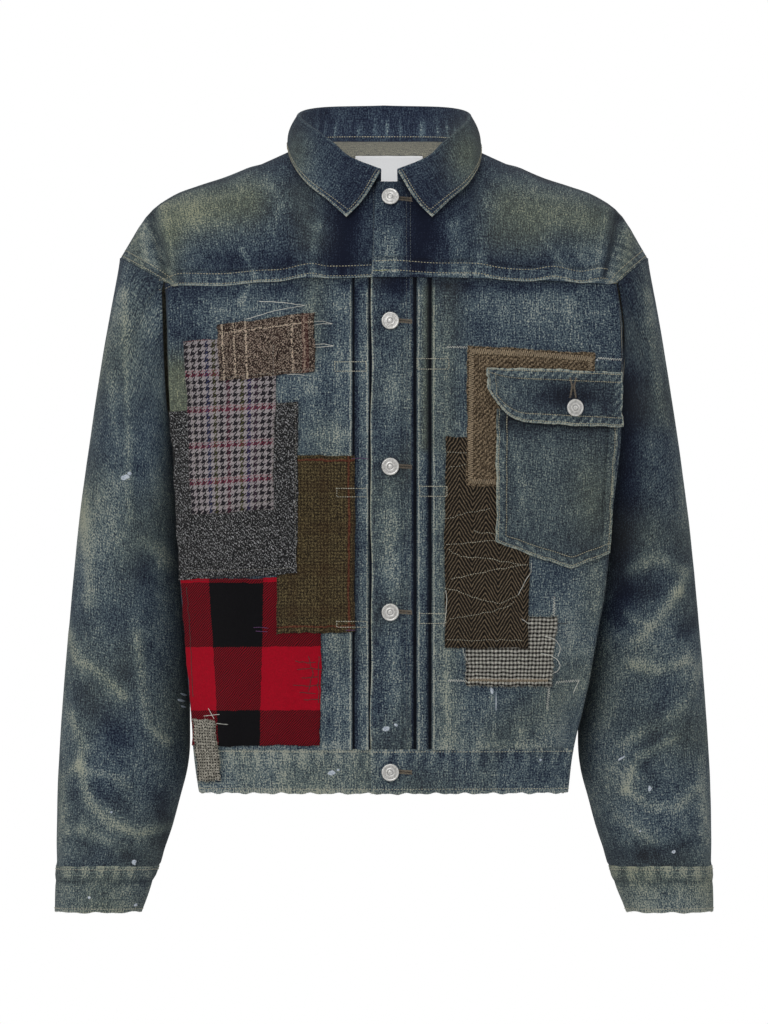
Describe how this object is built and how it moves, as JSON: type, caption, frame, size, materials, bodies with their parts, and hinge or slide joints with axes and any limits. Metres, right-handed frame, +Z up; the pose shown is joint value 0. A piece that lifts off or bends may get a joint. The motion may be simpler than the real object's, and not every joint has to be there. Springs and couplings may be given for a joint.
{
  "type": "patched boro denim jacket",
  "caption": "Buttoned denim work jacket as worn, hollow, with a turned-down collar, a chest pocket and sewn-on cloth patches.",
  "frame": {"origin": "middle of the wearer's neck, level with the place where the shoulders meet the collar", "axes": "+Z up, +X towards the wearer's left, +Y towards the back"},
  "size_m": [0.6352, 0.2403, 0.7792],
  "materials": {
    "denim": "washed indigo twill, worn pale at the seams and folds",
    "band_denim": "washed indigo twill with a faded khaki cast, frayed at the lower edge",
    "collar_denim": "dark indigo twill with pale edges",
    "label_tape": "plain white woven tape",
    "plaid_cloth": "brushed red and black buffalo plaid twill",
    "olive_cloth": "olive brown checked tweed",
    "speckled_cloth": "dark grey speckled tweed",
    "hounds_cloth": "grey houndstooth tweed with pink and blue overcheck",
    "cream_stripe_cloth": "brown tweed with cream stripes",
    "grey_check_cloth": "small grey check",
    "herringbone_cloth": "dark brown herringbone tweed",
    "brown_twill_cloth": "brown twill",
    "basket_cloth": "grey beige basket weave",
    "button_metal": "satin white metal with fine rings"
  },
  "bodies": {
    "root": {"front_panel_left": "denim", "front_panel_right": "denim", "front_yoke_left": "denim", "front_yoke_right": "denim", "sleeve_left": "denim", "sleeve_right": "denim", "back_panel": "denim", "placket": "denim", "waistband": "band_denim", "cuff_left": "band_denim", "cuff_right": "band_denim", "collar": "collar_denim", "neck_label": "label_tape", "chest_pocket": "denim", "pocket_flap": "denim", "patch_plaid": "plaid_cloth", "patch_olive": "olive_cloth", "patch_speckled": "speckled_cloth", "patch_hounds": "hounds_cloth", "patch_cream_stripe": "cream_stripe_cloth", "patch_grey_check": "grey_check_cloth", "patch_herringbone": "herringbone_cloth", "patch_brown_twill": "brown_twill_cloth", "patch_basket": "basket_cloth", "button_1": "button_metal", "button_2": "button_metal", "button_3": "button_metal", "button_4": "button_metal", "button_5": "button_metal", "button_flap": "button_metal"}
  },
  "joints": []
}
